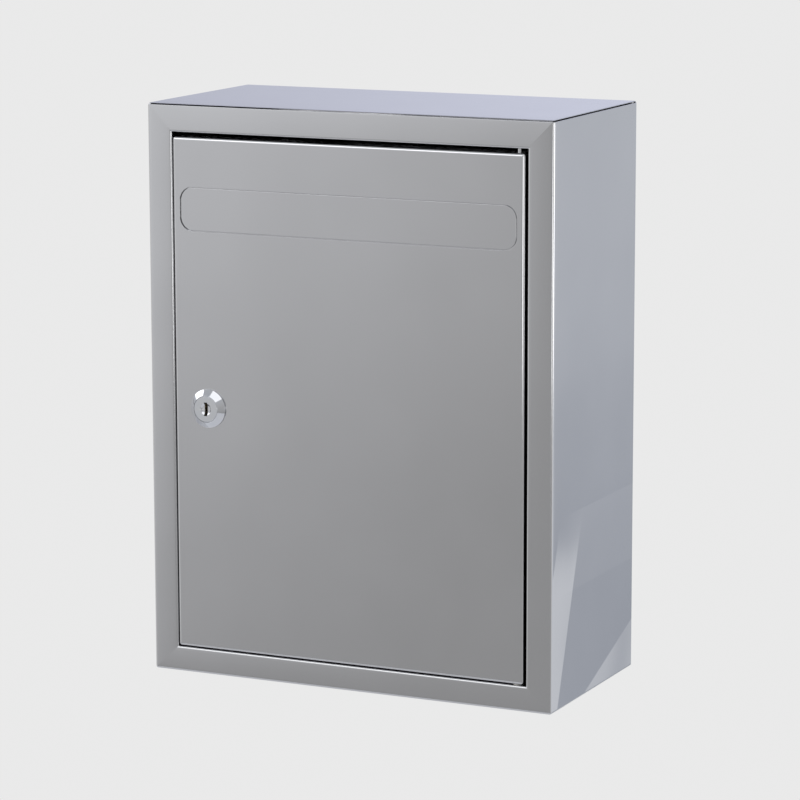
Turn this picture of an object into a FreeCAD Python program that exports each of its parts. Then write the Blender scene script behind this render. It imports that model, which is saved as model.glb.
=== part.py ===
"""A wall-mounted stainless steel mailbox with a locking door and a push-in letter flap.

The frame: the origin is at the centre of the four wall holes, on the plane of the wall.
+X is to the right, +Z is up, and the door faces -Y. All sizes are in millimetres.
At rest the door is closed, and the lock is turned so that its cam hangs clear of the rim.
"""
import FreeCAD, Part

import math
import os

V = FreeCAD.Vector

# ---- driving dimensions: the box -------------------------------------------------------------
WIDTH = 250.0
HEIGHT = 330.0
DEPTH = 120.0
SHEET = 1.0                  # thickness of every folded sheet
BEND_R = 1.5                 # outer radius of the bends round the front
LIP_BEND_R = 1.2             # outer radius of the bends round the opening
LONG_EDGE_R = 1.6            # outer radius of the four edges that run front to back
RIM = 15.5                   # width of the front rim at the sides
OPENING_DROP = 0.7           # how far the opening sits below the middle of the box
LIP = 16.0                   # how far the rim's inner lip runs back
BACK_FLANGE = 12.0           # depth of the back panel's folded edge
WALL_HOLE_R = 3.25
WALL_HOLE_SPACING_X = 180.0
WALL_HOLE_SPACING_Z = 240.0

# ---- driving dimensions: the door ------------------------------------------------------------
DOOR_LEFT_GAP = 0.3
DOOR_RIGHT_GAP = 1.6         # wider, so that the hinge edge can swing
DOOR_TOP_GAP = 2.5           # enough to lift the door off its lower pin
DOOR_BOTTOM_GAP = 0.5
DOOR_RETURN = 12.0           # depth of the door's folded edges
DOOR_BEND_R = 1.8
PIVOT_FROM_LIP = 6.1         # from the rim's right lip to the hinge axis
PIVOT_BACK = 3.6             # from the front face back to the hinge axis
PIN_R = 1.2
PIN_CLEARANCE = 0.1
PIN_HEAD_R = 2.3
PIN_HEAD = 1.6
PIN_POINT = 0.5
UPPER_PIN_TIP = 4.5          # above the rim's upper lip
LIFT_CLEARANCE = 0.2         # between the lifted door's lower pin and the lip
BRACKET = 2.0                # thickness of the hinge brackets and plates
BRACKET_LEG = 11.0
BRACKET_FROM_PIVOT = 10.0    # how far each bracket runs to the left of the hinge axis
PLATE_FROM_PIVOT = 18.0
HINGE_WASHER_R = 2.5
STOP_Z = 70.0                # the door stops, above and below the middle, clear of the flap
STOP_HEIGHT = 18.0
STOP_LEG = 9.0
BUMPER = 1.0
BUMPER_GAP = 0.3             # between the closed door and its bumpers
BUMPER_MARGIN = 2.0          # the bumper's edges inside those of its stop

# ---- driving dimensions: the letter flap -----------------------------------------------------
SLOT_WIDTH = 208.0
SLOT_HEIGHT = 25.4
SLOT_TOP_FROM_DOOR_TOP = 28.15
SLOT_CORNER_R = 8.0
FLAP_GAP = 0.5               # all round the flap
FLAP_RECESS = 0.4            # the flap's face behind the door's face
FLAP_SHEET = 0.8
BACKING_OVERLAP = 2.8        # the backing plate beyond the slot
BACKING_CORNER_R = 3.0
ROD_R = 1.5
ROD_ABOVE_SLOT = 7.85
ROD_BACK = 6.0
EAR_R = 4.0
FLAP_EAR_X = 90.0            # from the door's centre line to the middle of each flap ear
DOOR_EAR_X = 97.0
ROD_HALF_LENGTH = 100.0

# ---- driving dimensions: the flap's springs --------------------------------------------------
WIRE_R = 0.4
COIL_R = 2.4
COIL_TURNS = 5
COIL_PITCH = 0.92
SPRING_DOOR_LEG = 15.0
SPRING_FLAP_LEG = 20.0

# ---- driving dimensions: the lock ------------------------------------------------------------
LOCK_X = -87.8
LOCK_Z = -8.4
BEZEL_R = 11.1
BEZEL_FACE_R = 7.85
BEZEL_RISE = 3.6
BARREL_R = 9.3
BARREL_FLATS = 16.4
BARREL_LENGTH = 15.0
PLUG_HEAD_R = 7.5            # the plug's wide head, sunk in the bezel
PLUG_HEAD = 1.6
PLUG_R = 6.0
PLUG_CLEARANCE = 0.1
KEYWAY_WIDTH = 2.0
KEYWAY_HEIGHT = 7.8
KEYWAY_DEPTH = 15.5
WELL_R = 3.5                 # the shallow dish round the keyway
WELL_FLOOR_R = 2.4
WELL_DEPTH = 0.9
TANG = 7.0
CAM_FRONT = 16.4
CAM_THICKNESS = 2.0
CAM_REACH = 32.0
STUD_R = 3.0
STUD_END = 25.0              # how far behind the front face the cam's stud ends
THREAD_CHAMFER = 0.6
WAFERS = 5
WAFER_THICKNESS = 0.8
WAFER_STEP = 2.4
WAFER_SLOT_HALF = 3.5        # half the width of the plug's slot for each wafer
FIRST_WAFER = 1.0            # behind the front face

# ---- worked out from the driving dimensions --------------------------------------------------
FRONT = -DEPTH
HALF_W = WIDTH / 2
HALF_H = HEIGHT / 2
OPENING_X = HALF_W - RIM
OPENING_Z0 = RIM - HALF_H - OPENING_DROP
OPENING_Z1 = HALF_H - RIM - OPENING_DROP
DOOR_X0 = -OPENING_X + DOOR_LEFT_GAP
DOOR_X1 = OPENING_X - DOOR_RIGHT_GAP
DOOR_Z0 = OPENING_Z0 + DOOR_BOTTOM_GAP
DOOR_Z1 = OPENING_Z1 - DOOR_TOP_GAP
DOOR_MID_X = (DOOR_X0 + DOOR_X1) / 2
PIVOT_X = OPENING_X - PIVOT_FROM_LIP
SLOT_X0 = DOOR_MID_X - SLOT_WIDTH / 2
SLOT_X1 = DOOR_MID_X + SLOT_WIDTH / 2
SLOT_Z1 = DOOR_Z1 - SLOT_TOP_FROM_DOOR_TOP
SLOT_Z0 = SLOT_Z1 - SLOT_HEIGHT
ROD_Z = SLOT_Z1 + ROD_ABOVE_SLOT
BACKING_FRONT = FLAP_RECESS + FLAP_SHEET
NUT_HOLE_R = BARREL_R + 0.1
STOP_FRONT = DOOR_RETURN + BUMPER_GAP + BUMPER
TANG_FRONT = BARREL_LENGTH + 0.2
CAM_BACK = CAM_FRONT + CAM_THICKNESS


# ---- helpers ---------------------------------------------------------------------------------
def back(depth):
    """The y of a point that far behind the front face."""
    return FRONT + depth


def block(x0, x1, y0, y1, z0, z1):
    return Part.makeBox(x1 - x0, y1 - y0, z1 - z0, V(x0, y0, z0))


def rod_x(radius, x0, x1, y, z):
    return Part.makeCylinder(radius, x1 - x0, V(x0, y, z), V(1, 0, 0))


def rod_y(radius, y0, y1, x, z):
    return Part.makeCylinder(radius, y1 - y0, V(x, y0, z), V(0, 1, 0))


def rod_z(radius, z0, z1, x, y):
    return Part.makeCylinder(radius, z1 - z0, V(x, y, z0), V(0, 0, 1))


def line(a, b):
    return Part.LineSegment(a, b).toShape()


def arc(a, middle, b):
    return Part.Arc(a, middle, b).toShape()


def prism(edges, along):
    """A closed outline, swept in a straight line."""
    return Part.Face(Part.Wire(edges)).extrude(along)


def polygon_prism(points, along):
    return Part.Face(Part.makePolygon(points + points[:1])).extrude(along)


def rounded_slab(x0, x1, z0, z1, radius, y0, y1):
    """A flat slab facing along Y, whose four corners have that radius."""
    edges = []
    corners = [(x1, z1, 0), (x0, z1, 90), (x0, z0, 180), (x1, z0, 270)]
    last = None
    first = None
    for x, z, start in corners:
        cx = x - math.copysign(radius, x - (x0 + x1) / 2)
        cz = z - math.copysign(radius, z - (z0 + z1) / 2)
        a, m, b = (
            V(cx + radius * math.cos(math.radians(t)), y0, cz + radius * math.sin(math.radians(t)))
            for t in (start, start + 45, start + 90)
        )
        if last:
            edges.append(line(last, a))
        first = first or a
        edges.append(arc(a, m, b))
        last = b
    edges.append(line(last, first))
    return prism(edges, V(0, y1 - y0, 0))


def edges_on_y(shape, y):
    """The edges that lie wholly on one plane across Y."""
    return [e for e in shape.Edges if abs(e.BoundBox.YMin - y) < 1e-4 and abs(e.BoundBox.YMax - y) < 1e-4]


def pan(x0, x1, z0, z1, corner_r, bend_r, face_y, edge_y):
    """A folded sheet tray: a face on the plane face_y, whose sides run to the plane edge_y."""
    toward = math.copysign(1, edge_y - face_y)
    low, high = sorted((face_y, edge_y))
    outer = rounded_slab(x0, x1, z0, z1, corner_r, low, high)
    outer = outer.makeFillet(bend_r, edges_on_y(outer, face_y))
    inner_face = face_y + toward * SHEET
    low, high = sorted((inner_face, edge_y + toward))
    inner = rounded_slab(
        x0 + SHEET, x1 - SHEET, z0 + SHEET, z1 - SHEET, corner_r - SHEET, low, high
    )
    return outer.cut(inner)


def sector(r0, r1, turn0, turn1, y0, y1, x, z):
    """Part of a flat ring across Y. Turns are in degrees from +Z towards +X."""
    def at(r, turn):
        t = math.radians(turn)
        return V(x + r * math.sin(t), y0, z + r * math.cos(t))

    middle = (turn0 + turn1) / 2
    edges = [
        arc(at(r1, turn0), at(r1, middle), at(r1, turn1)),
        line(at(r1, turn1), at(r0, turn1)),
        arc(at(r0, turn1), at(r0, middle), at(r0, turn0)),
        line(at(r0, turn0), at(r1, turn0)),
    ]
    return prism(edges, V(0, y1 - y0, 0))


def turned(profile, x, z):
    """A solid turned about the line through (x, z) along Y. The profile is (radius, depth) pairs."""
    points = [V(x + r, back(d), z) for r, d in profile]
    face = Part.Face(Part.makePolygon(points + points[:1]))
    return face.revolve(V(x, 0, z), V(0, 1, 0), 360)


def hex_nut(across_flats, hole_r, front, thickness, x, z):
    corner = across_flats / math.sqrt(3)
    points = [
        V(x + corner * math.cos(math.radians(t)), back(front), z + corner * math.sin(math.radians(t)))
        for t in range(0, 360, 60)
    ]
    nut = polygon_prism(points, V(0, thickness, 0))
    chamfer = 0.5
    rounder = turned(
        [
            (0, front),
            (across_flats / 2, front),
            (corner, front + chamfer),
            (corner, front + thickness - chamfer),
            (across_flats / 2, front + thickness),
            (0, front + thickness),
        ],
        x,
        z,
    )
    hole = rod_y(hole_r, back(front - 1), back(front + thickness + 1), x, z)
    return nut.common(rounder).cut(hole)


# ---- the box ---------------------------------------------------------------------------------
def lip_section(place):
    """The lip and its bend in section. place(outward, depth) is measured from the opening's edge."""
    inner_r = LIP_BEND_R - SHEET
    half = math.sqrt(0.5)
    outer_middle = LIP_BEND_R * (1 - half)
    inner_middle = LIP_BEND_R - inner_r * half
    return [
        line(place(0, LIP), place(0, LIP_BEND_R)),
        arc(place(0, LIP_BEND_R), place(outer_middle, outer_middle), place(LIP_BEND_R, 0)),
        line(place(LIP_BEND_R, 0), place(LIP_BEND_R, SHEET)),
        arc(place(LIP_BEND_R, SHEET), place(inner_middle, inner_middle), place(SHEET, LIP_BEND_R)),
        line(place(SHEET, LIP_BEND_R), place(SHEET, LIP)),
        line(place(SHEET, LIP), place(0, LIP)),
    ]


def lip_length(half_across, half_along, sign, upright):
    """The lip along one edge of the opening, cut at 45 degrees where it meets the next."""
    start = -half_along - LIP_BEND_R

    def place(outward, depth):
        across = sign * (half_across + outward)
        return V(across, back(depth), start) if upright else V(start, back(depth), across)

    along = V(0, 0, -2 * start) if upright else V(-2 * start, 0, 0)
    reach = LIP_BEND_R + 1
    corners = [
        (half_across + reach, half_along + reach),
        (half_across + reach, -half_along - reach),
        (half_across - 1, 1 - half_along),
        (half_across - 1, half_along - 1),
    ]
    points = [
        V(sign * a, FRONT - 1, b) if upright else V(b, FRONT - 1, sign * a) for a, b in corners
    ]
    return prism(lip_section(place), along).common(polygon_prism(points, V(0, LIP + 2, 0)))


def opening_lip():
    half_z = HALF_H - RIM
    lengths = [
        lip_length(half_z, OPENING_X, 1, False),
        lip_length(half_z, OPENING_X, -1, False),
        lip_length(OPENING_X, half_z, 1, True),
        lip_length(OPENING_X, half_z, -1, True),
    ]
    return lengths[0].fuse(lengths[1:]).translated(V(0, 0, -OPENING_DROP))


def body_shell():
    """The four walls and the rim round the opening, with its lip."""
    shell = rounded_slab(-HALF_W, HALF_W, -HALF_H, HALF_H, LONG_EDGE_R, FRONT, 0)
    shell = shell.makeFillet(BEND_R, edges_on_y(shell, FRONT))
    x, z = HALF_W - SHEET, HALF_H - SHEET
    inside = block(-x, x, back(SHEET), 1, -z, z)
    inside = inside.makeFillet(BEND_R - SHEET, edges_on_y(inside, back(SHEET)))
    x = OPENING_X + LIP_BEND_R
    z0, z1 = OPENING_Z0 - LIP_BEND_R, OPENING_Z1 + LIP_BEND_R
    mouth = block(-x, x, FRONT - 1, back(SHEET + 1), z0, z1)
    shell = shell.cut([inside, mouth]).fuse(opening_lip())
    hole_r = PIN_R + PIN_CLEARANCE
    for z in (OPENING_Z0, OPENING_Z1):
        shell = shell.cut(rod_z(hole_r, z - 2, z + 2, PIVOT_X, back(PIVOT_BACK)))
    return shell.removeSplitter()


def back_panel():
    x = HALF_W - SHEET
    z = HALF_H - SHEET
    panel = pan(-x, x, -z, z, LONG_EDGE_R, BEND_R, 0, -BACK_FLANGE)
    for sx in (-1, 1):
        for sz in (-1, 1):
            hole = rod_y(
                WALL_HOLE_R, -2, 1, sx * WALL_HOLE_SPACING_X / 2, sz * WALL_HOLE_SPACING_Z / 2
            )
            panel = panel.cut(hole)
    return panel


def hinge_bracket(side):
    """An angle behind the rim that carries a hinge pin: side is 1 at the top and -1 at the bottom."""
    wall_x = HALF_W - SHEET
    front_y = back(BEND_R + 0.1)
    back_y = back(LIP - 1)
    lip_z = OPENING_Z1 + SHEET if side > 0 else OPENING_Z0 - SHEET
    x0 = PIVOT_X - BRACKET_FROM_PIVOT
    flat = block(x0, wall_x, front_y, back_y, *sorted((lip_z, lip_z + side * BRACKET)))
    upright = block(
        wall_x - BRACKET, wall_x, front_y, back_y, *sorted((lip_z, lip_z + side * BRACKET_LEG))
    )
    hole = rod_z(PIN_R + PIN_CLEARANCE, -HALF_H, HALF_H, PIVOT_X, back(PIVOT_BACK))
    return flat.fuse(upright).cut(hole).removeSplitter()


def hinge_washer():
    """The plastic washer between the rim's lower lip and the door, which carries the door's weight."""
    thickness = DOOR_BOTTOM_GAP - 0.1
    disc = rod_z(HINGE_WASHER_R, OPENING_Z0, OPENING_Z0 + thickness, PIVOT_X, back(PIVOT_BACK))
    hole = rod_z(
        PIN_R + PIN_CLEARANCE, OPENING_Z0 - 1, OPENING_Z0 + 2, PIVOT_X, back(PIVOT_BACK)
    )
    return disc.cut(hole)


def door_stop(z):
    """An angle on the lock side of the rim, behind the door's edge."""
    z0, z1 = z - STOP_HEIGHT / 2, z + STOP_HEIGHT / 2
    x, y = -OPENING_X, back(STOP_FRONT)
    leg = block(x, x + SHEET, y, y + STOP_LEG, z0, z1)
    shelf = block(x, x + STOP_LEG, y, y + SHEET, z0, z1)
    return leg.fuse(shelf).removeSplitter()


def stop_bumpers():
    """The two rubber pads that the closed door rests on."""
    x0 = -OPENING_X + BUMPER_GAP
    x1 = -OPENING_X + STOP_LEG - BUMPER_MARGIN
    half = STOP_HEIGHT / 2 - BUMPER_MARGIN
    return Part.makeCompound(
        [
            block(x0, x1, back(STOP_FRONT - BUMPER), back(STOP_FRONT), z - half, z + half)
            for z in (-STOP_Z, STOP_Z)
        ]
    )


# ---- the door --------------------------------------------------------------------------------
def door_panel():
    panel = pan(
        DOOR_X0, DOOR_X1, DOOR_Z0, DOOR_Z1, LONG_EDGE_R, DOOR_BEND_R, FRONT, back(DOOR_RETURN)
    )
    slot = rounded_slab(
        SLOT_X0, SLOT_X1, SLOT_Z0, SLOT_Z1, SLOT_CORNER_R, FRONT - 1, back(SHEET + 1)
    )
    half_flats = BARREL_FLATS / 2 + 0.1
    lock_hole = rod_y(NUT_HOLE_R, FRONT - 1, back(SHEET + 1), LOCK_X, LOCK_Z).common(
        block(
            LOCK_X - half_flats,
            LOCK_X + half_flats,
            FRONT - 1,
            back(SHEET + 1),
            LOCK_Z - BEZEL_R,
            LOCK_Z + BEZEL_R,
        )
    )
    panel = panel.cut(slot).cut(lock_hole)
    for z in (DOOR_Z0, DOOR_Z1):
        panel = panel.cut(rod_z(PIN_R, z - 2, z + 2, PIVOT_X, back(PIVOT_BACK)))
    return panel


def hinge_plate(side):
    """A plate welded inside the door's top or bottom edge, where the hinge pin goes through."""
    edge_z = DOOR_Z1 if side > 0 else DOOR_Z0
    z0, z1 = sorted((edge_z - side * SHEET, edge_z - side * (SHEET + BRACKET)))
    plate = block(
        PIVOT_X - PLATE_FROM_PIVOT, DOOR_X1 - LONG_EDGE_R, back(1.6), back(DOOR_RETURN - 1), z0, z1
    )
    return plate.cut(rod_z(PIN_R, z0 - 1, z1 + 1, PIVOT_X, back(PIVOT_BACK)))


def hinge_pin(side, tip_z):
    """A headed pin. Its head is inside the door, and its tip is in the rim."""
    edge_z = DOOR_Z1 if side > 0 else DOOR_Z0
    head_z = edge_z - side * (SHEET + BRACKET)
    y = back(PIVOT_BACK)
    shoulder_z = tip_z - side * PIN_POINT
    shank = rod_z(PIN_R, *sorted((head_z, shoulder_z)), PIVOT_X, y)
    head = rod_z(PIN_HEAD_R, *sorted((head_z, head_z - side * PIN_HEAD)), PIVOT_X, y)
    point = Part.makeCone(
        PIN_R, PIN_R - PIN_POINT, PIN_POINT, V(PIVOT_X, y, shoulder_z), V(0, 0, side)
    )
    return shank.fuse([head, point]).removeSplitter()


# ---- the letter flap -------------------------------------------------------------------------
def flap_face():
    g = FLAP_GAP
    return rounded_slab(
        SLOT_X0 + g,
        SLOT_X1 - g,
        SLOT_Z0 + g,
        SLOT_Z1 - g,
        SLOT_CORNER_R - g,
        back(FLAP_RECESS),
        back(FLAP_RECESS + FLAP_SHEET),
    )


def flap_ear(x):
    """A lug folded back from the backing plate's top edge, which turns on the rod."""
    x0 = x - SHEET / 2
    low_z = SLOT_Z1 - 14
    top_z = SLOT_Z1 + BACKING_OVERLAP
    root = BACKING_FRONT + SHEET / 2
    points = [
        V(x0, back(root), low_z),
        V(x0, back(root), top_z),
        V(x0, back(ROD_BACK - EAR_R), ROD_Z),
        V(x0, back(ROD_BACK + EAR_R), ROD_Z),
    ]
    web = polygon_prism(points, V(SHEET, 0, 0))
    eye = rod_x(EAR_R, x0, x0 + SHEET, back(ROD_BACK), ROD_Z)
    hole = rod_x(ROD_R + PIN_CLEARANCE, x0 - 1, x0 + 2, back(ROD_BACK), ROD_Z)
    return web.fuse(eye).cut(hole)


def flap_backing():
    o = BACKING_OVERLAP
    plate = rounded_slab(
        SLOT_X0 - o,
        SLOT_X1 + o,
        SLOT_Z0 - o,
        SLOT_Z1 + o,
        BACKING_CORNER_R,
        back(BACKING_FRONT),
        back(BACKING_FRONT + SHEET),
    )
    ears = [flap_ear(DOOR_MID_X + side * FLAP_EAR_X) for side in (-1, 1)]
    return plate.fuse(ears).removeSplitter()


def flap_bracket(side):
    """An angle welded to the back of the door, which holds one end of the rod."""
    ear_x = DOOR_MID_X + side * DOOR_EAR_X
    foot_z0 = SLOT_Z1 + BACKING_OVERLAP + 0.8
    foot_z1 = ROD_Z + 8
    inner, outer = ear_x - side * SHEET / 2, ear_x + side * 8.5
    foot = block(*sorted((inner, outer)), back(SHEET), back(2 * SHEET), foot_z0, foot_z1)
    x0 = ear_x - SHEET / 2
    web = block(x0, x0 + SHEET, back(SHEET), back(ROD_BACK), foot_z0, ROD_Z + EAR_R)
    eye = rod_x(EAR_R, x0, x0 + SHEET, back(ROD_BACK), ROD_Z)
    hole = rod_x(ROD_R, x0 - 1, x0 + 2, back(ROD_BACK), ROD_Z)
    return foot.fuse([web, eye]).cut(hole).removeSplitter()


def flap_rod():
    return rod_x(
        ROD_R, DOOR_MID_X - ROD_HALF_LENGTH, DOOR_MID_X + ROD_HALF_LENGTH, back(ROD_BACK), ROD_Z
    )


def rod_clips():
    """The two push-on clips that keep the rod in its brackets."""
    thickness = 0.6
    rings = []
    for side in (-1, 1):
        face = DOOR_MID_X + side * (DOOR_EAR_X + SHEET / 2 + 0.1)
        x0, x1 = sorted((face, face + side * thickness))
        ring = rod_x(ROD_R * 2.1, x0, x1, back(ROD_BACK), ROD_Z)
        rings.append(ring.cut(rod_x(ROD_R, x0 - 1, x1 + 1, back(ROD_BACK), ROD_Z)))
    return Part.makeCompound(rings)


def flap_spring(side):
    """A torsion spring on the rod: one leg lies on the flap, and the other on the door."""
    length = COIL_TURNS * COIL_PITCH
    helix = Part.makeHelix(COIL_PITCH, length, COIL_R).Edges
    # the spring is made along Z, with the ends of its coil at +X and its legs along Y
    flap_lean = ROD_BACK - COIL_R - (BACKING_FRONT + SHEET + WIRE_R + 0.1)
    door_lean = ROD_BACK - COIL_R - (SHEET + WIRE_R + 0.1)
    flap_tip = V(COIL_R + flap_lean, -SPRING_FLAP_LEG, 0)
    coil_start = V(COIL_R, 0, 0)
    coil_end = V(COIL_R, 0, length)
    door_tip = V(COIL_R + door_lean, SPRING_DOOR_LEG, length)
    path = Part.Wire([line(flap_tip, coil_start)] + helix + [line(coil_end, door_tip)])
    section = Part.Wire(Part.Circle(flap_tip, coil_start - flap_tip, WIRE_R).toShape())
    spring = path.makePipeShell([section], True, True)
    # lay it along X, with its +X side to the front and its +Y side up
    spring.rotate(V(0, 0, 0), V(0, 1, 0), 90)
    spring.rotate(V(0, 0, 0), V(1, 0, 0), -90)
    spring = spring.mirror(V(0, 0, 0), V(0, 0, 1))
    start_x = DOOR_MID_X + (FLAP_EAR_X + DOOR_EAR_X - length) / 2
    spring.translate(V(start_x, back(ROD_BACK), ROD_Z))
    if side < 0:
        spring = spring.mirror(V(DOOR_MID_X, 0, 0), V(1, 0, 0))
    return spring


# ---- the lock --------------------------------------------------------------------------------
LUG_TURNS = (-42, 132)       # the stop lug on the barrel's back, from +Z towards +X
TAB_TURNS = (136, 224)       # the stop washer's tab, with the cam hanging down
LUG_R0 = 6.9
LUG_R1 = 8.1


def lock_housing():
    bore_r = PLUG_R + PLUG_CLEARANCE
    head_r = PLUG_HEAD_R + PLUG_CLEARANCE
    head_seat = PLUG_HEAD + PLUG_CLEARANCE - BEZEL_RISE
    profile = [
        (bore_r, head_seat),
        (head_r, head_seat),
        (head_r, -BEZEL_RISE),
        (BEZEL_FACE_R, -BEZEL_RISE),
        (BEZEL_R - 0.2, -0.9),
        (BEZEL_R, -0.7),
        (BEZEL_R, 0),
        (BARREL_R, 0),
        (BARREL_R, BARREL_LENGTH - THREAD_CHAMFER),
        (BARREL_R - THREAD_CHAMFER, BARREL_LENGTH),
        (bore_r, BARREL_LENGTH),
    ]
    housing = turned(profile, LOCK_X, LOCK_Z)
    for side in (-1, 1):
        x0, x1 = sorted((LOCK_X + side * BARREL_FLATS / 2, LOCK_X + side * (BARREL_R + 1)))
        housing = housing.cut(
            block(x0, x1, back(0), back(BARREL_LENGTH + 1), LOCK_Z - BARREL_R, LOCK_Z + BARREL_R)
        )
    lug = sector(
        LUG_R0, LUG_R1, *LUG_TURNS, back(BARREL_LENGTH - 1), back(BARREL_LENGTH + 1.1), LOCK_X, LOCK_Z
    )
    return housing.fuse(lug).removeSplitter()


def wafer_front(i):
    return FIRST_WAFER + WAFER_STEP * i


def lock_plug():
    chamfer = 0.15
    face = 0.1 - BEZEL_RISE
    head_back = PLUG_HEAD - BEZEL_RISE
    profile = [
        (0, face),
        (PLUG_HEAD_R - chamfer, face),
        (PLUG_HEAD_R, face + chamfer),
        (PLUG_HEAD_R, head_back),
        (PLUG_R, head_back),
        (PLUG_R, TANG_FRONT),
        (0, TANG_FRONT),
    ]
    plug = turned(profile, LOCK_X, LOCK_Z)
    half = TANG / 2
    tang = block(
        LOCK_X - half, LOCK_X + half, back(TANG_FRONT), back(CAM_BACK - 0.1), LOCK_Z - half, LOCK_Z + half
    )
    stud_profile = [
        (0, CAM_BACK - 0.1),
        (STUD_R, CAM_BACK - 0.1),
        (STUD_R, STUD_END - THREAD_CHAMFER),
        (STUD_R - THREAD_CHAMFER, STUD_END),
        (0, STUD_END),
    ]
    plug = plug.fuse([tang, turned(stud_profile, LOCK_X, LOCK_Z)])
    keyway = block(
        LOCK_X - KEYWAY_WIDTH / 2,
        LOCK_X + KEYWAY_WIDTH / 2,
        back(face - 1),
        back(face + KEYWAY_DEPTH),
        LOCK_Z - KEYWAY_HEIGHT / 2,
        LOCK_Z + KEYWAY_HEIGHT / 2,
    )
    well = Part.makeCone(
        WELL_R, WELL_FLOOR_R, WELL_DEPTH, V(LOCK_X, back(face), LOCK_Z), V(0, 1, 0)
    )
    plug = plug.cut([keyway, well])
    for i in range(WAFERS):
        front = wafer_front(i)
        plug = plug.cut(
            block(
                LOCK_X - WAFER_SLOT_HALF,
                LOCK_X + WAFER_SLOT_HALF,
                back(front),
                back(front + WAFER_THICKNESS + 0.2),
                LOCK_Z - PLUG_R,
                LOCK_Z + PLUG_R,
            )
        )
    return plug


def lock_wafers():
    """The thin plates that slide in the plug, drawn in as the key draws them."""
    wafers = []
    for i in range(WAFERS):
        y0 = back(wafer_front(i) + 0.1)
        y1 = y0 + WAFER_THICKNESS
        plate = block(LOCK_X - 3.4, LOCK_X + 3.4, y0, y1, LOCK_Z - PLUG_R, LOCK_Z + PLUG_R)
        window = block(LOCK_X - 1.2, LOCK_X + 1.2, y0 - 1, y1 + 1, LOCK_Z - 4.1, LOCK_Z + 4.1)
        round_ends = rod_y(PLUG_R - 0.15, y0 - 1, y1 + 1, LOCK_X, LOCK_Z)
        wafers.append(plate.common(round_ends).cut(window))
    return Part.makeCompound(wafers)


def square_hole(front, thickness):
    half = TANG / 2 + 0.05
    return block(
        LOCK_X - half,
        LOCK_X + half,
        back(front - 1),
        back(front + thickness + 1),
        LOCK_Z - half,
        LOCK_Z + half,
    )


def stop_washer():
    """The washer whose tab meets the barrel's lug at each end of the lock's quarter turn."""
    front, thickness = BARREL_LENGTH + 0.3, 0.8
    disc = rod_y(LUG_R0 - 0.2, back(front), back(front + thickness), LOCK_X, LOCK_Z)
    tab = sector(
        LUG_R0 - 1.5, LUG_R1, *TAB_TURNS, back(front), back(front + thickness), LOCK_X, LOCK_Z
    )
    return disc.fuse(tab).removeSplitter().cut(square_hole(front, thickness))


def lock_cam():
    """The flat lever that hooks behind the rim. It hangs down when the door is unlocked."""
    y = back(CAM_FRONT)
    hub_r, tip_half, shoulder = 8.0, 6.5, CAM_REACH - 4
    left, right = V(LOCK_X - hub_r, y, LOCK_Z), V(LOCK_X + hub_r, y, LOCK_Z)
    tip_left = V(LOCK_X - tip_half, y, LOCK_Z - shoulder)
    tip_right = V(LOCK_X + tip_half, y, LOCK_Z - shoulder)
    edges = [
        arc(left, V(LOCK_X, y, LOCK_Z + hub_r), right),
        line(right, tip_right),
        arc(tip_right, V(LOCK_X, y, LOCK_Z - CAM_REACH), tip_left),
        line(tip_left, left),
    ]
    cam = prism(edges, V(0, CAM_THICKNESS, 0))
    return cam.cut(square_hole(CAM_FRONT, CAM_THICKNESS))


def cam_washer():
    """A split spring washer."""
    ring = rod_y(5.2, back(CAM_BACK), back(CAM_BACK + 1.2), LOCK_X, LOCK_Z)
    hole = rod_y(STUD_R + 0.1, back(CAM_BACK - 1), back(CAM_BACK + 3), LOCK_X, LOCK_Z)
    split = block(
        LOCK_X, LOCK_X + 6, back(CAM_BACK - 1), back(CAM_BACK + 3), LOCK_Z - 0.4, LOCK_Z + 0.4
    )
    return ring.cut([hole, split])


def build():
    upper_tip = OPENING_Z1 + UPPER_PIN_TIP
    lower_tip = DOOR_Z0 - DOOR_TOP_GAP + LIFT_CLEARANCE
    parts = {
        "body_shell": body_shell(),
        "back_panel": back_panel(),
        "upper_hinge_bracket": hinge_bracket(1),
        "lower_hinge_bracket": hinge_bracket(-1),
        "hinge_washer": hinge_washer(),
        "upper_door_stop": door_stop(STOP_Z),
        "lower_door_stop": door_stop(-STOP_Z),
        "stop_bumpers": stop_bumpers(),
        "door_panel": door_panel(),
        "upper_hinge_plate": hinge_plate(1),
        "lower_hinge_plate": hinge_plate(-1),
        "upper_hinge_pin": hinge_pin(1, upper_tip),
        "lower_hinge_pin": hinge_pin(-1, lower_tip),
        "flap_face": flap_face(),
        "flap_backing": flap_backing(),
        "left_flap_bracket": flap_bracket(-1),
        "right_flap_bracket": flap_bracket(1),
        "flap_rod": flap_rod(),
        "rod_clips": rod_clips(),
        "left_flap_spring": flap_spring(-1),
        "right_flap_spring": flap_spring(1),
        "lock_housing": lock_housing(),
        "lock_nut": hex_nut(22.0, NUT_HOLE_R, SHEET, 4.0, LOCK_X, LOCK_Z),
        "lock_plug": lock_plug(),
        "lock_wafers": lock_wafers(),
        "stop_washer": stop_washer(),
        "lock_cam": lock_cam(),
        "cam_washer": cam_washer(),
        "cam_nut": hex_nut(10.0, STUD_R + 0.05, CAM_BACK + 1.2, 4.0, LOCK_X, LOCK_Z),
    }
    return parts


os.makedirs("parts", exist_ok=True)
for name, shape in build().items():
    shape.exportStep(f"parts/{name}.step")
    print(f"{name:22s} solids {len(shape.Solids)} valid {shape.isValid()} volume {shape.Volume:10.1f}")
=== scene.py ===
"""The looks of the wall-mounted stainless steel mailbox, built around its CAD frame.

Everything is in metres in the CAD frame: +X right, +Z up, the door faces -Y, the wall is at y = 0.
A depth is a distance behind the front face, and an inset is a distance in from the outline.
"""

import math

import bmesh
import bpy
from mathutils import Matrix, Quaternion, Vector


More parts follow.
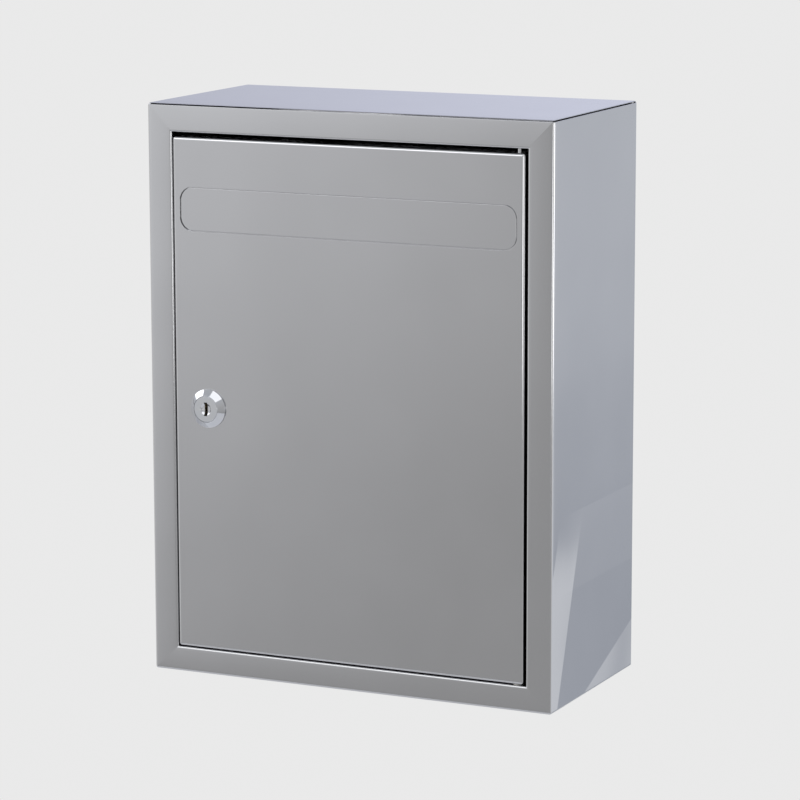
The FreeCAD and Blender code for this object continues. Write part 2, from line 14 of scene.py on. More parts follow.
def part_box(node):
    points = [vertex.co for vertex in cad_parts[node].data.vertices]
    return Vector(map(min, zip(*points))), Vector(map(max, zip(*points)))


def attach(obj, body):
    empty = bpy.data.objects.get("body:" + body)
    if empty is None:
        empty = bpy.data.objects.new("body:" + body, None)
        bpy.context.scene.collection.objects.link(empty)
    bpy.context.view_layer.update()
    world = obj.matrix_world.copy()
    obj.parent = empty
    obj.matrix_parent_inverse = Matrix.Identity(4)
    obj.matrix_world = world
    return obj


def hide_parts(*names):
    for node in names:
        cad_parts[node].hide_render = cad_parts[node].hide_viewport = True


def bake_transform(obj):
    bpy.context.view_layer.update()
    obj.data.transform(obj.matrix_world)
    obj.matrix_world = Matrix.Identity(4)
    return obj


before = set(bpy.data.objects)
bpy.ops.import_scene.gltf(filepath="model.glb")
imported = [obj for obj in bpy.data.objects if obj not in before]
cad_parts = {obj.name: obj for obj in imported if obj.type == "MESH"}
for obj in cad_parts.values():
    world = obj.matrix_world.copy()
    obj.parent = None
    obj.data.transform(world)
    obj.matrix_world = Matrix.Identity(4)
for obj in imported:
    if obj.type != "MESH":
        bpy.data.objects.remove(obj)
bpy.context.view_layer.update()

MM = 0.001
LOW, HIGH = 0, 1

# ---- sizes taken from the frame --------------------------------------------------------------
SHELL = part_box("body_shell")
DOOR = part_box("door_panel")
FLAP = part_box("flap_face")
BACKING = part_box("flap_backing")
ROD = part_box("flap_rod")
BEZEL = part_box("lock_housing")
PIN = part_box("upper_hinge_pin")
FRONT = SHELL[LOW][1]
SHELL_HALF_X = SHELL[HIGH][0]
SHELL_HALF_Z = SHELL[HIGH][2]
SHELL_DEPTH = SHELL[HIGH][1] - FRONT
DOOR_MID = ((DOOR[LOW][0] + DOOR[HIGH][0]) / 2, (DOOR[LOW][2] + DOOR[HIGH][2]) / 2)
DOOR_HALF = ((DOOR[HIGH][0] - DOOR[LOW][0]) / 2, (DOOR[HIGH][2] - DOOR[LOW][2]) / 2)
FLAP_MID = ((FLAP[LOW][0] + FLAP[HIGH][0]) / 2, (FLAP[LOW][2] + FLAP[HIGH][2]) / 2)
FLAP_HALF = ((FLAP[HIGH][0] - FLAP[LOW][0]) / 2, (FLAP[HIGH][2] - FLAP[LOW][2]) / 2)
PIVOT_X = (PIN[LOW][0] + PIN[HIGH][0]) / 2
PIVOT_Y = (PIN[LOW][1] + PIN[HIGH][1]) / 2
LOCK_X = (BEZEL[LOW][0] + BEZEL[HIGH][0]) / 2
LOCK_Z = (BEZEL[LOW][2] + BEZEL[HIGH][2]) / 2
ROD_Y = (ROD[LOW][1] + ROD[HIGH][1]) / 2
ROD_Z = (ROD[LOW][2] + ROD[HIGH][2]) / 2

# ---- sizes of the folded sheet ---------------------------------------------------------------
SHEET = 1.0 * MM
SHELL_BEND = 1.5 * MM
LIP_BEND = 1.2 * MM
LONG_EDGE_R = 1.6 * MM
MITRE_R = 0.22 * MM          # the rim's mitred corners stay nearly square
WALL_LEAN = 0.10 * MM        # how far the walls lean in as they come to the front bend
LEAN_DEPTH = 22 * MM
RIM = 15.5 * MM
OPENING_DROP = 0.7 * MM      # how far the opening sits below the middle of the box
CROWN = 0.05 * MM            # how much the rim's flat bulges between its two bends
CORNER_FALL = 0.5 * MM       # how far the rim's top right corner is bent back
LIP = 16.0 * MM
DOOR_BEND = 1.8 * MM
SEAM_TOP = 0.42 * MM         # the seam round the top sheet, below the top
SEAM_BOTTOM = 1.05 * MM
SEAM_DEPTH = 1.60 * MM
DOOR_RETURN = DOOR[HIGH][1] - DOOR[LOW][1]
FLAP_GAP = 0.5 * MM
FLAP_CORNER = 7.5 * MM
PIN_R = 1.2 * MM
PIN_HOLE_R = 1.3 * MM
PIN_HEAD = 1.6 * MM          # the height of a hinge pin's head
EDGE_BREAK = 0.18 * MM       # the rounding left on a cut or filed edge
SOFT_EDGE = 0.10 * MM        # the same on thin stamped pieces
CUT_CLEAR = 2 * MM           # how far a cutter reaches past what it cuts
LEAST_RADIUS = 0.02 * MM     # for a rounded rectangle whose corners should be sharp
DOOR_INNER_R = 0.3 * MM

# ---- sizes of the lock -----------------------------------------------------------------------
BEZEL_R = (BEZEL[HIGH][0] - BEZEL[LOW][0]) / 2
BEZEL_RISE = FRONT - BEZEL[LOW][1]
BEZEL_FACE_R = 7.85 * MM
HEAD_BORE_R = 7.6 * MM       # the recess for the plug's head
HEAD_SEAT = 1.7 * MM         # the depth of that recess
BARREL_R = 9.3 * MM
BARREL_FLAT = 8.2 * MM       # from the barrel's axis to each flat
BARREL_END = 15.0 * MM
PLUG_BORE_R = 6.1 * MM
THREAD_PITCH = 1.0 * MM
THREAD_DEPTH = 0.5 * MM
LUG_R = (6.9 * MM, 8.1 * MM)
LUG_TURNS = (-42, 132)       # the stop lug, in degrees from +Z towards +X
LUG_ENDS = (14.0 * MM, 16.1 * MM)
LOCK_HOLE_CLEAR = 0.1 * MM   # from the barrel to its hole in the door
BEZEL_SOFT = 0.15 * MM       # the rounding between the bezel's face and its slope
BEZEL_LEAD = 0.05 * MM       # the chamfer at the mouth of the plug's recess
BEZEL_SIDE = 0.75 * MM       # where the slope ends, in front of the door

# ---- sizes of the flap's springs -------------------------------------------------------------
SPRING_WIRE_R = 0.4 * MM
SPRING_COIL_R = 2.4 * MM
SPRING_TURNS = 5
SPRING_PITCH = 0.92 * MM
SPRING_CLEAR = 0.1 * MM      # from a leg to the sheet that it lies on
SPRING_TILT = 0.05 * MM      # how far a leg's middle stands off its end
FLAP_LEG = 20.0 * MM
DOOR_LEG = 15.0 * MM

# ---- the side walls' bow, as a bump ----------------------------------------------------------
BOW_SCALE = 1.0 * MM         # what a height of 1 stands for
STRIP_START = 31 * MM        # the depth at which the front strip starts, at mid height
STRIP_WIDTH = 32 * MM
STRIP_SLANT = 0.33           # how far the strip goes back for each metre up
STRIP_RISE = 1.2
STRIP_FADE = (-100 * MM, -56 * MM)  # the strip fades out between these heights
CORNER_SLANT = 0.38          # how far the corner patch's edge rises for each metre back
CORNER_START = 182 * MM      # how far below the middle that edge would meet the front
CORNER_WIDTH = 58 * MM
CORNER_RISE = 3.2

# ---- the camera and the lights ---------------------------------------------------------------
CAMERA_AT = (0.8613, -1.8748, 0.3583)
CAMERA_TURNS = (25.285, 10.315, -0.127)  # azimuth, elevation and roll, in degrees
LENS = 159.79                # the focal length and the sensor's width, in millimetres
SENSOR = 36.0
LENS_SHIFT = (0.0013, 0.00095)
# name, azimuth, elevation, distance, width, height, brightness
SOFTBOXES = (
    ("front_right_strip", 27, -4.7, 2.24, 1.1, 0.34, 1.7),
    ("right_strip", 92, -4.7, 2.24, 1.7, 0.34, 1.7),
    ("upper_right_softbox", 28, 50, 2.2, 1.9, 1.4, 0.85),
    ("upper_left_softbox", -32, 34, 2.2, 1.2, 0.9, 1.7),
    ("left_softbox", -88, 30, 2.2, 1.6, 1.2, 1.8),
)


def depth_y(depth):
    return FRONT + depth


# ---- mesh helpers ----------------------------------------------------------------------------
def new_object(name, mesh):
    obj = bpy.data.objects.new(name, mesh)
    bpy.context.collection.objects.link(obj)
    return obj


def mesh_object(name, points, faces):
    mesh = bpy.data.meshes.new(name)
    mesh.from_pydata(points, [], faces)
    bm = bmesh.new()
    bm.from_mesh(mesh)
    bmesh.ops.remove_doubles(bm, verts=bm.verts, dist=1e-7)
    bmesh.ops.recalc_face_normals(bm, faces=bm.faces)
    bm.to_mesh(mesh)
    bm.free()
    return new_object(name, mesh)


def freeze(obj):
    """Turns an object's modifiers into its mesh."""
    graph = bpy.context.evaluated_depsgraph_get()
    made = bpy.data.meshes.new_from_object(obj.evaluated_get(graph))
    obj.modifiers.clear()
    obj.data = made
    return obj


def cut(obj, *cutters, keep=False):
    """Takes the cutters out of an object, or with keep leaves only what is inside them."""
    for cutter in cutters:
        tool = obj.modifiers.new("cut", "BOOLEAN")
        tool.operation = "INTERSECT" if keep else "DIFFERENCE"
        tool.solver = "EXACT"
        tool.object = cutter
        freeze(obj)
        bpy.data.objects.remove(cutter)
    return obj


def smooth_metal(obj, edge=EDGE_BREAK, segments=2, sharp_degrees=32):
    """Breaks the sharp edges, and keeps the flat faces truly flat in reflections."""
    if edge:
        tool = obj.modifiers.new("edge", "BEVEL")
        tool.width = edge
        tool.segments = segments
        tool.limit_method = "ANGLE"
        tool.angle_limit = math.radians(sharp_degrees)
        tool.use_clamp_overlap = True
        freeze(obj)
    obj.data.shade_smooth()
    tool = obj.modifiers.new("flat faces", "WEIGHTED_NORMAL")
    tool.mode = "FACE_AREA"
    tool.weight = 100
    tool.keep_sharp = True
    return freeze(obj)


def ring(mid, half, radius, y, steps):
    """A rounded rectangle on a plane across Y, as a list of points."""
    points = []
    radius = max(radius, LEAST_RADIUS)
    for sx, sz, start in ((1, 1, 0), (-1, 1, 90), (-1, -1, 180), (1, -1, 270)):
        cx = mid[0] + sx * (half[0] - radius)
        cz = mid[1] + sz * (half[1] - radius)
        for i in range(steps + 1):
            turn = math.radians(start + 90 * i / steps)
            points.append((cx + radius * math.cos(turn), y, cz + radius * math.sin(turn)))
    return points


def loft(name, rings, closed=False):
    """Skins a row of rings. If it isn't closed, each end gets a flat cap."""
    count = len(rings[0])
    points = [p for r in rings for p in r]
    faces = []
    spans = len(rings) if closed else len(rings) - 1
    for i in range(spans):
        a, b = i * count, (i + 1) % len(rings) * count
        for j in range(count):
            k = (j + 1) % count
            faces.append((a + j, a + k, b + k, b + j))
    if not closed:
        faces.append(tuple(range(count)))
        faces.append(tuple(range(len(points) - count, len(points))))
    return mesh_object(name, points, faces)


def arc_points(centre, radius, start, end, steps):
    """Points round part of a circle, with angles in degrees."""
    turns = [math.radians(start + (end - start) * i / steps) for i in range(steps + 1)]
    return [(centre[0] + radius * math.cos(t), centre[1] + radius * math.sin(t)) for t in turns]


def bar_y(name, radius, y0, y1, x, z, sides=48):
    """A plain cylinder along Y, for cutting."""
    rings = [
        [
            (x + radius * math.cos(math.tau * i / sides), y, z + radius * math.sin(math.tau * i / sides))
            for i in range(sides)
        ]
        for y in (y0, y1)
    ]
    return loft(name, rings)


def bar_z(name, radius, z0, z1, x, y, sides=32):
    rings = [
        [
            (x + radius * math.cos(math.tau * i / sides), y + radius * math.sin(math.tau * i / sides), z)
            for i in range(sides)
        ]
        for z in (z0, z1)
    ]
    return loft(name, rings)


def slab(name, low, high):
    x, y, z = zip(low, high)
    points = [(a, b, c) for a in x for b in y for c in z]
    faces = [(0, 1, 3, 2), (4, 6, 7, 5), (0, 4, 5, 1), (2, 3, 7, 6), (0, 2, 6, 4), (1, 5, 7, 3)]
    return mesh_object(name, points, faces)


def lathe(name, profile, origin, axis, sides=96):
    """Turns (radius, distance) pairs about an axis. A radius of 0 at an end closes it."""
    rings = []
    turn = Vector((0, 0, 1)).rotation_difference(Vector(axis))
    for radius, distance in profile:
        radius = max(radius, 1e-6)
        rings.append(
            [
                tuple(
                    Vector(origin)
                    + turn
                    @ Vector(
                        (
                            radius * math.cos(math.tau * i / sides),
                            radius * math.sin(math.tau * i / sides),
                            distance,
                        )
                    )
                )
                for i in range(sides)
            ]
        )
    return loft(name, rings)


def tube(name, path, radius, sides=12):
    """A round wire along a path of points, with rounded ends."""
    path = [Vector(p) for p in path]
    start, end = path[0] - path[1], path[-1] - path[-2]
    path.insert(0, path[0] + start.normalized() * radius * 0.5)
    path.append(path[-1] + end.normalized() * radius * 0.5)
    side = start.orthogonal().normalized()
    rings = []
    for i, point in enumerate(path):
        ahead = path[min(i + 1, len(path) - 1)] - path[max(i - 1, 0)]
        ahead.normalize()
        side = (side - ahead * side.dot(ahead)).normalized()
        up = ahead.cross(side)
        size = radius * (0.55 if i in (0, len(path) - 1) else 1.0)
        turns = [math.tau * j / sides for j in range(sides)]
        rings.append(
            [tuple(point + (side * math.cos(t) + up * math.sin(t)) * size) for t in turns]
        )
    return loft(name, rings)


# ---- materials -------------------------------------------------------------------------------
class Nodes:
    """A short way to wire up a material's nodes."""

    def __init__(self, name):
        self.material = bpy.data.materials.new(name)
        self.material.use_nodes = True
        self.tree = self.material.node_tree
        self.shader = self.tree.nodes["Principled BSDF"]

    def add(self, kind, **values):
        node = self.tree.nodes.new(kind)
        for key, value in values.items():
            if key in node.inputs:
                node.inputs[key].default_value = value
            else:
                setattr(node, key, value)
        return node

    def link(self, source, target):
        self.tree.links.new(source, target)

    def place(self, stretch=(1, 1, 1)):
        """The object's own coordinates in metres, stretched."""
        coordinates = self.add("ShaderNodeTexCoord")
        mapping = self.add("ShaderNodeMapping")
        mapping.inputs["Scale"].default_value = stretch
        self.link(coordinates.outputs["Object"], mapping.inputs["Vector"])
        return mapping.outputs["Vector"]

    def noise(self, scale, detail=4.0, stretch=(1, 1, 1)):
        node = self.add("ShaderNodeTexNoise")
        node.inputs["Scale"].default_value = scale
        node.inputs["Detail"].default_value = detail
        self.link(self.place(stretch), node.inputs["Vector"])
        return node.outputs["Fac"]

    def spread(self, source, low, high, at=(0.3, 0.7)):
        """Maps a value to the range from low to high."""
        node = self.add("ShaderNodeMapRange")
        for key, value in (("From Min", at[0]), ("From Max", at[1]), ("To Min", low), ("To Max", high)):
            node.inputs[key].default_value = value
        self.link(source, node.inputs["Value"])
        return node.outputs["Result"]

    def mix_colour(self, amount, a, b):
        node = self.add("ShaderNodeMix", data_type="RGBA")
        self.link(amount, node.inputs["Factor"])
        for socket, value in (("A", a), ("B", b)):
            target = [s for s in node.inputs if s.name == socket and s.type == "RGBA"][0]
            if isinstance(value, tuple):
                target.default_value = (*value, 1)
            else:
                self.link(value, target)
        return [s for s in node.outputs if s.type == "RGBA"][0]

    def sum(self, a, b):
        node = self.add("ShaderNodeMath", operation="ADD")
        self.link(a, node.inputs[0])
        self.link(b, node.inputs[1])
        return node.outputs["Value"]

    def times(self, source, factor):
        node = self.add("ShaderNodeMath", operation="MULTIPLY")
        self.link(source, node.inputs[0])
        node.inputs[1].default_value = factor
        return node.outputs["Value"]

    def product(self, a, b):
        node = self.add("ShaderNodeMath", operation="MULTIPLY")
        self.link(a, node.inputs[0])
        self.link(b, node.inputs[1])
        return node.outputs["Value"]

    def bump(self, height, distance, under=None):
        node = self.add("ShaderNodeBump")
        node.inputs["Distance"].default_value = distance
        self.link(height, node.inputs["Height"])
        if under:
            self.link(under, node.inputs["Normal"])
        return node.outputs["Normal"]


def satin_steel(name, warp, bowed=False, tone=(0.55, 0.552, 0.565), roughness=0.13):
    """Smooth stainless sheet. warp is how far the sheet is out of flat, over some centimetres."""
    n = Nodes(name)
    clouds = n.noise(9.0, 3.0)
    smears = n.noise(38.0, 5.0, (1, 1, 0.45))
    grit = n.noise(1800.0, 3.0)
    dark = tuple(c * 0.975 for c in tone)
    light = tuple(min(1.0, c * 1.02) for c in tone)
    n.link(n.mix_colour(n.spread(clouds, 0.0, 1.0), dark, light), n.shader.inputs["Base Color"])
    uneven = n.sum(
        n.spread(clouds, roughness - 0.015, roughness + 0.015),
        n.sum(n.spread(smears, -0.012, 0.012), n.spread(grit, -0.006, 0.006)),
    )
    n.link(uneven, n.shader.inputs["Roughness"])
    waves = n.bump(n.noise(11.0, 1.0), warp)
    if bowed:
        waves = n.bump(side_bow(n), BOW_SCALE, waves)
    n.link(waves, n.shader.inputs["Normal"])
    n.shader.inputs["Metallic"].default_value = 1.0
    return n.material


def side_bow(n):
    """The side wall's bow as ramps: a strip by its lower front edge, and its lower back corner."""
    split = n.add("ShaderNodeSeparateXYZ")
    n.link(n.place(), split.inputs["Vector"])
    y, z = split.outputs["Y"], split.outputs["Z"]
    strip_start = depth_y(STRIP_START)
    strip_line = n.sum(y, n.times(z, -STRIP_SLANT))
    strip = n.spread(strip_line, 0.0, STRIP_RISE, at=(strip_start, strip_start + STRIP_WIDTH))
    low = n.spread(z, 1.0, 0.0, at=STRIP_FADE)
    corner_start = CORNER_SLANT * depth_y(0) + CORNER_START
    corner_line = n.sum(n.times(y, CORNER_SLANT), n.times(z, -1.0))
    corner = n.spread(corner_line, 0.0, CORNER_RISE, at=(corner_start, corner_start + CORNER_WIDTH))
    return n.sum(n.product(strip, low), corner)


def plated(name, tone, roughness, mottle=0.04):
    """Chrome or zinc plate on a small turned or stamped piece."""
    n = Nodes(name)
    fine = n.noise(900.0, 4.0)
    broad = n.noise(140.0, 3.0)
    other = tuple(min(1.0, c * f) for c, f in zip(tone, (0.95, 0.97, 1.0)))
    n.link(n.mix_colour(n.spread(broad, 0.0, 1.0), tone, other), n.shader.inputs["Base Color"])
    n.link(
        n.sum(n.spread(fine, roughness, roughness + mottle), n.spread(broad, -0.01, 0.02)),
        n.shader.inputs["Roughness"],
    )
    n.link(n.bump(fine, 0.003 * MM), n.shader.inputs["Normal"])
    n.shader.inputs["Metallic"].default_value = 1.0
    return n.material


def drawn_wire(name):
    """Bright drawn rod and spring wire, with faint lines along X."""
    n = Nodes(name)
    lines = n.noise(1.0, 3.0, (60, 9000, 9000))
    n.link(
        n.mix_colour(n.spread(lines, 0.0, 1.0), (0.46, 0.46, 0.47), (0.62, 0.62, 0.63)),
        n.shader.inputs["Base Color"],
    )
    n.link(n.spread(lines, 0.16, 0.27), n.shader.inputs["Roughness"])
    n.link(n.bump(lines, 0.002 * MM), n.shader.inputs["Normal"])
    n.shader.inputs["Metallic"].default_value = 1.0
    return n.material


def black_rubber(name):
    n = Nodes(name)
    grain = n.noise(2600.0, 5.0)
    n.link(
        n.mix_colour(n.spread(grain, 0.0, 1.0), (0.012, 0.012, 0.013), (0.035, 0.035, 0.036)),
        n.shader.inputs["Base Color"],
    )
    n.link(n.spread(grain, 0.55, 0.75), n.shader.inputs["Roughness"])
    n.link(n.bump(grain, 0.02 * MM), n.shader.inputs["Normal"])
    return n.material


def natural_nylon(name):
    n = Nodes(name)
    grain = n.noise(1500.0, 4.0)
    n.link(
        n.mix_colour(n.spread(grain, 0.0, 1.0), (0.66, 0.65, 0.60), (0.76, 0.75, 0.71)),
        n.shader.inputs["Base Color"],
    )
    n.link(n.spread(grain, 0.38, 0.52), n.shader.inputs["Roughness"])
    n.link(n.bump(grain, 0.008 * MM), n.shader.inputs["Normal"])
    n.shader.inputs["Subsurface Weight"].default_value = 0.15
    n.shader.inputs["Subsurface Radius"].default_value = (0.001, 0.001, 0.001)
    return n.material


STEEL = satin_steel("satin_steel", 0.25 * MM)
SIDE_STEEL = satin_steel("satin_steel_side", 0.9 * MM, bowed=True, roughness=0.10)
CHROME = plated("chrome_plate", (0.66, 0.665, 0.68), 0.05, 0.03)
ZINC = plated("zinc_plate", (0.60, 0.61, 0.63), 0.22, 0.10)
BRASS = plated("stamped_brass", (0.60, 0.44, 0.20), 0.24, 0.08)
WIRE = drawn_wire("drawn_steel")
RUBBER = black_rubber("black_rubber")
NYLON = natural_nylon("natural_nylon")


def add_piece(obj, body, slot, material, *nodes):
    """Gives a finished piece its material, its body and the CAD nodes that it stands for."""
    if not obj.data.materials:
        obj.data.materials.append(material)
    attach(obj, body)
    if nodes:
        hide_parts(*nodes)
    return obj


def from_node(node, body, slot, material, edge=EDGE_BREAK):
    """A piece with the CAD node's own shape, whose sharp edges are broken."""
    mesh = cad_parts[node].data.copy()
    mesh.materials.clear()
    obj = new_object(f"{node}_finished", mesh)
    bm = bmesh.new()
    bm.from_mesh(mesh)
    bmesh.ops.remove_doubles(bm, verts=bm.verts, dist=1e-6)
    bmesh.ops.dissolve_limit(bm, angle_limit=math.radians(0.5), verts=bm.verts, edges=bm.edges)
    bm.to_mesh(mesh)
    bm.free()
    if mesh.has_custom_normals:
        mesh.attributes.remove(mesh.attributes["custom_normal"])
    smooth_metal(obj, edge)
    return add_piece(obj, body, slot, material, node)


# ---- the box ---------------------------------------------------------------------------------
def shell_section():
    """The wall, the rim and the lip as a closed line of (inset, depth) pairs."""
    steps = 8
    outer_bend = arc_points((SHELL_BEND, SHELL_BEND + CROWN), SHELL_BEND, 180, 270, steps)
    lip_bend = arc_points((RIM - LIP_BEND, LIP_BEND + CROWN), LIP_BEND, 270, 360, steps)
    lip_inside = arc_points((RIM - LIP_BEND, LIP_BEND), LIP_BEND - SHEET, 360, 270, steps)
    wall_inside = arc_points((SHELL_BEND, SHELL_BEND), SHELL_BEND - SHEET, 270, 180, steps)
    corner = EDGE_BREAK
    spans = 8
    width = RIM - LIP_BEND - SHELL_BEND
    crown = [
        (SHELL_BEND + width * i / spans, CROWN * (2 * i / spans - 1) ** 2) for i in range(1, spans)
    ]
    lip_end = [
        (RIM, LIP - corner),
        (RIM - corner, LIP),
        (RIM - SHEET + corner, LIP),
        (RIM - SHEET, LIP - corner),
    ]
    lean = [
        (WALL_LEAN * (1 - i / spans) ** 2, SHELL_BEND + LEAN_DEPTH * i / spans)
        for i in range(spans, 0, -1)
    ]
    outer_bend = [(inset + WALL_LEAN * max(0, 1 - inset / SHELL_BEND), depth) for inset, depth in outer_bend]
    return (
        [(corner, SHELL_DEPTH), (0, SHELL_DEPTH - corner)]
        + lean
        + outer_bend
        + crown
        + lip_bend
        + lip_end
        + lip_inside
        + wall_inside
        + [(SHEET, SHELL_DEPTH - corner), (SHEET - corner, SHELL_DEPTH)]
    )


def bend_corner_back(obj):
    """Tilt the rim a little round its top right corner, as hand-folded sheet lies."""
    width = RIM - SHELL_BEND
    for vertex in obj.data.vertices:
        x, y, z = vertex.co
        if y > depth_y(SHELL_BEND + 0.1 * MM):
            continue
        inset = min(SHELL_HALF_X - abs(x), SHELL_HALF_Z - abs(z))
        outward = 1 - max(0.0, min(1.0, (inset - SHELL_BEND) / width))
        right = (x / SHELL_HALF_X + 1) / 2
        high = (z / SHELL_HALF_Z + 1) / 2
        vertex.co.y = y + CORNER_FALL * outward * max(0.0, right) * max(0.0, high)


def top_seam():
    """A thin frame, for cutting the seam between the top sheet and the walls."""
    clear = 1 * MM
    z0, z1 = SHELL_HALF_Z - SEAM_BOTTOM, SHELL_HALF_Z - SEAM_TOP
    outer = slab(
        "seam", (-SHELL_HALF_X - clear, FRONT - clear, z0), (SHELL_HALF_X + clear, -0.3 * MM, z1)
    )
    inner_x = SHELL_HALF_X - SEAM_DEPTH
    inner = slab(
        "inside", (-inner_x, depth_y(SEAM_DEPTH), z0 - clear), (inner_x, clear, z1 + clear)
    )
    return cut(outer, inner)


def body_shell():
    steps = 4
    rings = []
    for inset, depth in shell_section():
        # the opening sits low, so that the rim is wider at the top than at the bottom
        across_rim = (inset - SHELL_BEND) / (RIM - LIP_BEND - SHELL_BEND)
        drop = OPENING_DROP * max(0.0, min(1.0, across_rim))
        half = (SHELL_HALF_X - inset, SHELL_HALF_Z - inset)
        radius = max(LONG_EDGE_R - inset, MITRE_R)
        rings.append(ring((0, -drop), half, radius, depth_y(depth), steps))
    obj = loft("folded_box", rings, closed=True)
    bend_corner_back(obj)
    for side in (-1, 1):
        lip_z = side * (SHELL_HALF_Z - RIM) - OPENING_DROP
        cut(obj, bar_z("pin_hole", PIN_HOLE_R, lip_z - CUT_CLEAR, lip_z + CUT_CLEAR, PIVOT_X, PIVOT_Y))
    cut(obj, top_seam())
    smooth_metal(obj, 0)
    for material in (STEEL, SIDE_STEEL):
        obj.data.materials.append(material)
    for face in obj.data.polygons:
        on_side = SHELL_HALF_X - abs(face.center.x) < 0.1 * MM
        face.material_index = 1 if on_side and abs(face.normal.x) > 0.9 else 0
    return add_piece(obj, "box", "satin_steel", STEEL, "body_shell")


def back_panel():
    return from_node("back_panel", "box", "satin_steel", STEEL)


def hinge_brackets_and_stops():
    for node in ("upper_hinge_bracket", "lower_hinge_bracket", "upper_door_stop", "lower_door_stop"):
        from_node(node, "box", "satin_steel", STEEL)


def bumpers():
    from_node("stop_bumpers", "box", "rubber", RUBBER, 0.3 * MM)


def washer_under_door():
    low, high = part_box("hinge_washer")
    outer = (high[0] - low[0]) / 2
    height = high[2] - low[2]
    rim = 0.2 * MM
    profile = (
        [(PIN_HOLE_R, 0)]
        + arc_points((outer - rim, rim), rim, 270, 360, 4)
        + arc_points((outer - rim, height - rim), rim, 0, 90, 4)
        + [(PIN_HOLE_R, height)]
    )
    obj = turned_ring("nylon_washer", profile, (PIVOT_X, PIVOT_Y, low[2]), (0, 0, 1), 48)
    add_piece(smooth_metal(obj, 0), "box", "nylon", NYLON, "hinge_washer")


def turned_ring(name, profile, origin, axis, sides=96):
    """Turns a closed line of (radius, distance) pairs about an axis."""
    turn = Vector((0, 0, 1)).rotation_difference(Vector(axis))
    rings = []
    for radius, distance in profile:
        row = []
        for i in range(sides):
            angle = math.tau * i / sides
            local = Vector((radius * math.cos(angle), radius * math.sin(angle), distance))
            row.append(tuple(Vector(origin) + turn @ local))
        rings.append(row)
    return loft(name, rings, closed=True)


# ---- the door --------------------------------------------------------------------------------
def door_panel():
    bend, inner = DOOR_BEND, DOOR_BEND - SHEET
    corner = EDGE_BREAK
    front = arc_points((bend, bend), bend, 270, 180, 8)
    inside = arc_points((bend, bend), inner, 180, 270, 6)
    section = (
        front
        + [(0, DOOR_RETURN - corner), (corner, DOOR_RETURN)]
        + [(SHEET - corner, DOOR_RETURN), (SHEET, DOOR_RETURN - corner)]
        + inside
    )
    rings = [
        ring(
            DOOR_MID,
            (DOOR_HALF[0] - inset, DOOR_HALF[1] - inset),
            max(LONG_EDGE_R - inset, DOOR_INNER_R),
            depth_y(depth),
            6,
        )
        for inset, depth in section
    ]
    obj = loft("folded_door", rings)
    slot_half = (FLAP_HALF[0] + FLAP_GAP, FLAP_HALF[1] + FLAP_GAP)
    slot_rings = [
        ring(FLAP_MID, slot_half, FLAP_CORNER + FLAP_GAP, y, 16)
        for y in (depth_y(-1 * MM), depth_y(SHEET + 1 * MM))
    ]
    hole_r = BARREL_R + LOCK_HOLE_CLEAR
    hole = bar_y("hole", hole_r, depth_y(-1 * MM), depth_y(2 * MM), LOCK_X, LOCK_Z)
    flat = BARREL_FLAT + LOCK_HOLE_CLEAR
    cut(
        hole,
        slab(
            "flats",
            (LOCK_X - flat, depth_y(-2 * MM), LOCK_Z - BEZEL_R),
            (LOCK_X + flat, depth_y(3 * MM), LOCK_Z + BEZEL_R),
        ),
        keep=True,
    )
    pins = [
        bar_z("pin_hole", PIN_R, z - CUT_CLEAR, z + CUT_CLEAR, PIVOT_X, PIVOT_Y)
        for z in (DOOR[LOW][2], DOOR[HIGH][2])
    ]
    cut(obj, loft("slot", slot_rings), hole, *pins)
    smooth_metal(obj, SOFT_EDGE, sharp_degrees=50)
    return add_piece(obj, "door", "satin_steel", STEEL, "door_panel")


def hinge_plates():
    for node in ("upper_hinge_plate", "lower_hinge_plate"):
        from_node(node, "door", "satin_steel", STEEL)


def hinge_pins():
    for node, side in (("upper_hinge_pin", 1), ("lower_hinge_pin", -1)):
        low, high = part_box(node)
        head_r = (high[0] - low[0]) / 2
        length = high[2] - low[2]
        radius, head, soft = PIN_R, PIN_HEAD, 0.5 * MM
        start = low[2] if side > 0 else high[2]
        profile = (
            [(0, 0)]
            + arc_points((head_r - soft, soft), soft, 270, 360, 5)
            + [(head_r, head - 0.2 * MM), (head_r - 0.2 * MM, head), (radius, head)]
            + arc_points((radius - soft, length - soft), soft, 0, 90, 5)
            + [(0, length)]
        )
        obj = lathe(f"{node}_turned", profile, (PIVOT_X, PIVOT_Y, start), (0, 0, side), 40)
        add_piece(smooth_metal(obj, 0), "door", "bright_steel", WIRE, node)


# ---- the letter flap -------------------------------------------------------------------------
def flap_face():
    edge = 0.25 * MM
    front, rear = FLAP[LOW][1], FLAP[HIGH][1]
    section = [
        (edge - x, front + edge - y) for x, y in arc_points((0, 0), edge, 90, 0, 4)
    ]
    section += [(0, rear)]
    rings = [
        ring(FLAP_MID, (FLAP_HALF[0] - inset, FLAP_HALF[1] - inset), FLAP_CORNER - inset, y, 16)
        for inset, y in section
    ]
    obj = smooth_metal(loft("flap_front", rings), 0)
    return add_piece(obj, "flap", "satin_steel", STEEL, "flap_face")


def flap_inside():
    from_node("flap_backing", "flap", "satin_steel", STEEL)
    for node in ("left_flap_bracket", "right_flap_bracket"):
        from_node(node, "door", "satin_steel", STEEL)
    from_node("rod_clips", "door", "zinc_plate", ZINC, SOFT_EDGE)


